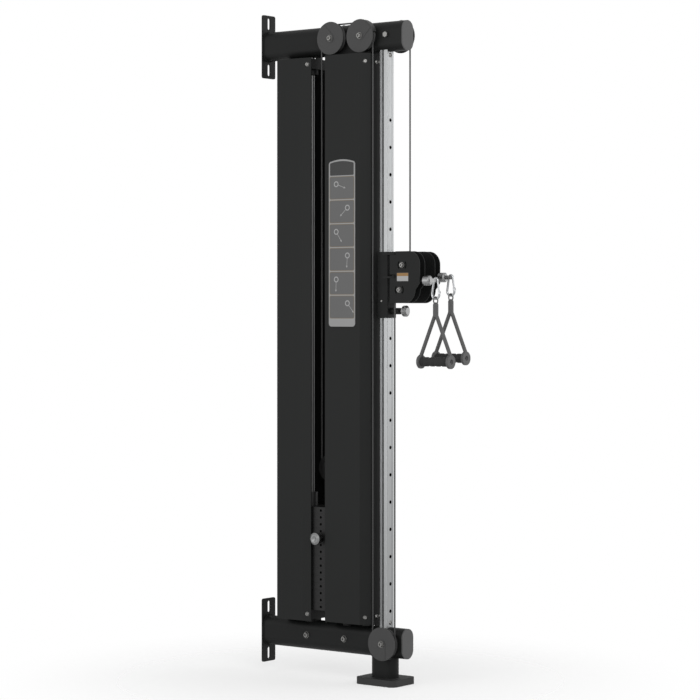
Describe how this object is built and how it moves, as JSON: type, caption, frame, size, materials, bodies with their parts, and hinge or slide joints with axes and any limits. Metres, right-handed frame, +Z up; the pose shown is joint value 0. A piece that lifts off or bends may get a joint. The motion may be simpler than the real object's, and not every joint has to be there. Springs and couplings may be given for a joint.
{
  "type": "cable machine",
  "caption": "Wall-mounted cable machine: shrouded weight stack, slotted column, sliding carriage with swivelling pulley blocks, and hanging handles.",
  "frame": {"origin": "on the wall, at the centre of the lower wall plate's two slots", "axes": "+Z up along the column, +Y into the wall, +X to the right when facing the wall"},
  "size_m": [0.1805, 0.8924, 2.493],
  "materials": {
    "frame_paint": "fine satin powder coat",
    "shroud_paint": "fine satin powder coat",
    "extruded_aluminium": "clear anodised, brushed along its length",
    "end_cap_plastic": "moulded, fine grain",
    "cover_plastic": "moulded, satin",
    "rubber": "matt",
    "black_plastic": "satin",
    "nylon": "machined nylon",
    "chrome": "polished",
    "zinc_steel": "zinc plated",
    "cable_jacket": "smooth nylon jacket",
    "weight_paint": "satin",
    "placard_print": "printed, satin",
    "handle_metal": "satin grey",
    "grip_rubber": "ribbed, matt"
  },
  "bodies": {
    "frame": {"wall_plates": "frame_paint", "lower_beam": "frame_paint", "upper_beam": "frame_paint", "beam_end_caps": "end_cap_plastic", "foot_post": "frame_paint", "foot_pad": "rubber", "column": "extruded_aluminium", "column_spigots": "zinc_steel", "rear_shroud": "shroud_paint", "front_shroud": "shroud_paint", "shroud_brackets": "frame_paint", "frame_screws": "zinc_steel", "placard": "placard_print", "guide_rods": "chrome", "rod_collars": "frame_paint", "stack_bumpers": "rubber", "resting_plates": "weight_paint", "pulley_axles": "zinc_steel", "pulley_covers": "cover_plastic", "fixed_cables": "cable_jacket"},
    "near_rear_pulley": {"near_rear_pulley": "nylon"},
    "near_front_pulley": {"near_front_pulley": "nylon"},
    "bottom_pulley": {"bottom_pulley": "nylon"},
    "far_rear_pulley": {"far_rear_pulley": "nylon"},
    "far_front_pulley": {"far_front_pulley": "nylon"},
    "stack": {"head_plate": "weight_paint", "selector_stem": "zinc_steel", "lifted_plates": "weight_paint", "guide_bushings": "black_plastic", "pulley_yoke": "frame_paint", "yoke_bolt": "zinc_steel", "stack_cables": "cable_jacket"},
    "floating_pulley": {"floating_pulley": "nylon"},
    "selector_pin": {"selector_pin": "chrome"},
    "carriage": {"carriage_sleeve": "frame_paint", "glide_pads": "black_plastic", "pin_barrel": "frame_paint", "pop_spring": "zinc_steel", "carriage_cables": "cable_jacket"},
    "pop_pin": {"pop_pin": "chrome"},
    "near_block": {"near_block": "frame_paint", "near_block_bolts": "zinc_steel", "near_pull_cable": "cable_jacket"},
    "near_upper_sheave": {"near_upper_sheave": "nylon"},
    "near_lower_sheave": {"near_lower_sheave": "nylon"},
    "near_end": {"near_stop": "chrome"},
    "near_hook": {"near_hook": "chrome"},
    "near_gate": {"near_gate": "chrome"},
    "near_handle": {"near_handle": "handle_metal"},
    "near_grip": {"near_grip": "grip_rubber"},
    "far_block": {"far_block": "frame_paint", "far_block_bolts": "zinc_steel", "far_pull_cable": "cable_jacket"},
    "far_upper_sheave": {"far_upper_sheave": "nylon"},
    "far_lower_sheave": {"far_lower_sheave": "nylon"},
    "far_end": {"far_stop": "chrome"},
    "far_hook": {"far_hook": "chrome"},
    "far_gate": {"far_gate": "chrome"},
    "far_handle": {"far_handle": "handle_metal"},
    "far_grip": {"far_grip": "grip_rubber"}
  },
  "joints": [
    {"name": "stack_lift", "type": "slide", "parent": "frame", "child": "stack", "axis": [0, 0, 1], "range_m": [0, 1], "deforming": ["stack_cables"]},
    {"name": "floating_pulley_spin", "type": "hinge", "parent": "stack", "child": "floating_pulley", "pos_m": [0, -0.305, 0.6281], "axis": [1, 0, 0], "continuous": true},
    {"name": "selector_pin_pull", "type": "slide", "parent": "stack", "child": "selector_pin", "axis": [-1, 0, 0], "range_m": [0, 0.1]},
    {"name": "near_rear_pulley_spin", "type": "hinge", "parent": "frame", "child": "near_rear_pulley", "pos_m": [-0.047, -0.35, 2.225], "axis": [1, 0, 0], "continuous": true},
    {"name": "near_front_pulley_spin", "type": "hinge", "parent": "frame", "child": "near_front_pulley", "pos_m": [-0.047, -0.488, 2.225], "axis": [1, 0, 0], "continuous": true},
    {"name": "bottom_pulley_spin", "type": "hinge", "parent": "frame", "child": "bottom_pulley", "pos_m": [-0.047, -0.588, 0], "axis": [1, 0, 0], "continuous": true},
    {"name": "far_rear_pulley_spin", "type": "hinge", "parent": "frame", "child": "far_rear_pulley", "pos_m": [0.047, -0.35, 2.225], "axis": [1, 0, 0], "continuous": true},
    {"name": "far_front_pulley_spin", "type": "hinge", "parent": "frame", "child": "far_front_pulley", "pos_m": [0.047, -0.588, 2.225], "axis": [1, 0, 0], "continuous": true},
    {"name": "carriage_slide", "type": "slide", "parent": "frame", "child": "carriage", "axis": [0, 0, 1], "range_m": [-1.1, 0.7], "deforming": ["carriage_cables"]},
    {"name": "pop_pin_seat", "type": "slide", "parent": "carriage", "child": "pop_pin", "axis": [0, 1, 0], "range_m": [0, 0.012], "deforming": ["pop_spring"]},
    {"name": "near_swivel", "type": "hinge", "parent": "carriage", "child": "near_block", "pos_m": [-0.047, -0.638, 1.324], "axis": [0, 0, 1], "range_deg": [-90, 8]},
    {"name": "near_upper_sheave_spin", "type": "hinge", "parent": "near_block", "child": "near_upper_sheave", "pos_m": [-0.047, -0.683, 1.381], "axis": [1, 0, 0], "continuous": true},
    {"name": "near_lower_sheave_spin", "type": "hinge", "parent": "near_block", "child": "near_lower_sheave", "pos_m": [-0.047, -0.671, 1.291], "axis": [1, 0, 0], "continuous": true},
    {"name": "near_pull", "type": "slide", "parent": "near_block", "child": "near_end", "axis": [0, -1, 0], "range_m": [0, 1], "deforming": ["near_pull_cable"]},
    {"name": "near_hook_swing", "type": "hinge", "parent": "near_end", "child": "near_hook", "pos_m": [-0.047, -0.821, 1.324], "axis": [1, 0, 0], "range_deg": [-95, 12]},
    {"name": "near_gate_open", "type": "hinge", "parent": "near_hook", "child": "near_gate", "pos_m": [-0.047, -0.83551, 1.28446], "axis": [1, 0, 0], "range_deg": [-16, 0], "stiffness_Nm_per_rad": 0.12, "springref_deg": 11.46},
    {"name": "near_handle_swing", "type": "hinge", "parent": "near_hook", "child": "near_handle", "pos_m": [-0.047, -0.821, 1.274], "axis": [1, 0, 0], "range_deg": [-60, 15]},
    {"name": "near_grip_spin", "type": "hinge", "parent": "near_handle", "child": "near_grip", "pos_m": [-0.047, -0.821, 1.0318], "axis": [0, 1, 0], "continuous": true},
    {"name": "far_swivel", "type": "hinge", "parent": "carriage", "child": "far_block", "pos_m": [0.047, -0.638, 1.336], "axis": [0, 0, 1], "range_deg": [-8, 90]},
    {"name": "far_upper_sheave_spin", "type": "hinge", "parent": "far_block", "child": "far_upper_sheave", "pos_m": [0.047, -0.683, 1.381], "axis": [1, 0, 0], "continuous": true},
    {"name": "far_lower_sheave_spin", "type": "hinge", "parent": "far_block", "child": "far_lower_sheave", "pos_m": [0.047, -0.671, 1.291], "axis": [1, 0, 0], "continuous": true},
    {"name": "far_pull", "type": "slide", "parent": "far_block", "child": "far_end", "axis": [0, -1, 0], "range_m": [0, 1], "deforming": ["far_pull_cable"]},
    {"name": "far_hook_swing", "type": "hinge", "parent": "far_end", "child": "far_hook", "pos_m": [0.047, -0.821, 1.336], "axis": [1, 0, 0], "range_deg": [-95, 12]},
    {"name": "far_gate_open", "type": "hinge", "parent": "far_hook", "child": "far_gate", "pos_m": [0.047, -0.83551, 1.29646], "axis": [1, 0, 0], "range_deg": [-16, 0], "stiffness_Nm_per_rad": 0.12, "springref_deg": 11.46},
    {"name": "far_handle_swing", "type": "hinge", "parent": "far_hook", "child": "far_handle", "pos_m": [0.047, -0.821, 1.286], "axis": [1, 0, 0], "range_deg": [-60, 15]},
    {"name": "far_grip_spin", "type": "hinge", "parent": "far_handle", "child": "far_grip", "pos_m": [0.047, -0.821, 1.0438], "axis": [0, 1, 0], "continuous": true}
  ],
  "couplings": [
    {"joint": "near_pull", "follows": "stack_lift", "ratio": 1},
    {"joint": "far_pull", "follows": "stack_lift", "ratio": 1},
    {"joint": "near_rear_pulley_spin", "follows": "stack_lift", "rad_per_m": 20},
    {"joint": "near_front_pulley_spin", "follows": "stack_lift", "rad_per_m": 20},
    {"joint": "bottom_pulley_spin", "follows": "stack_lift", "rad_per_m": -20},
    {"joint": "near_lower_sheave_spin", "follows": "stack_lift", "rad_per_m": 30.303},
    {"joint": "far_rear_pulley_spin", "follows": "stack_lift", "rad_per_m": 20},
    {"joint": "far_front_pulley_spin", "follows": "stack_lift", "rad_per_m": 20},
    {"joint": "far_upper_sheave_spin", "follows": "stack_lift", "rad_per_m": -22.222}
  ]
}
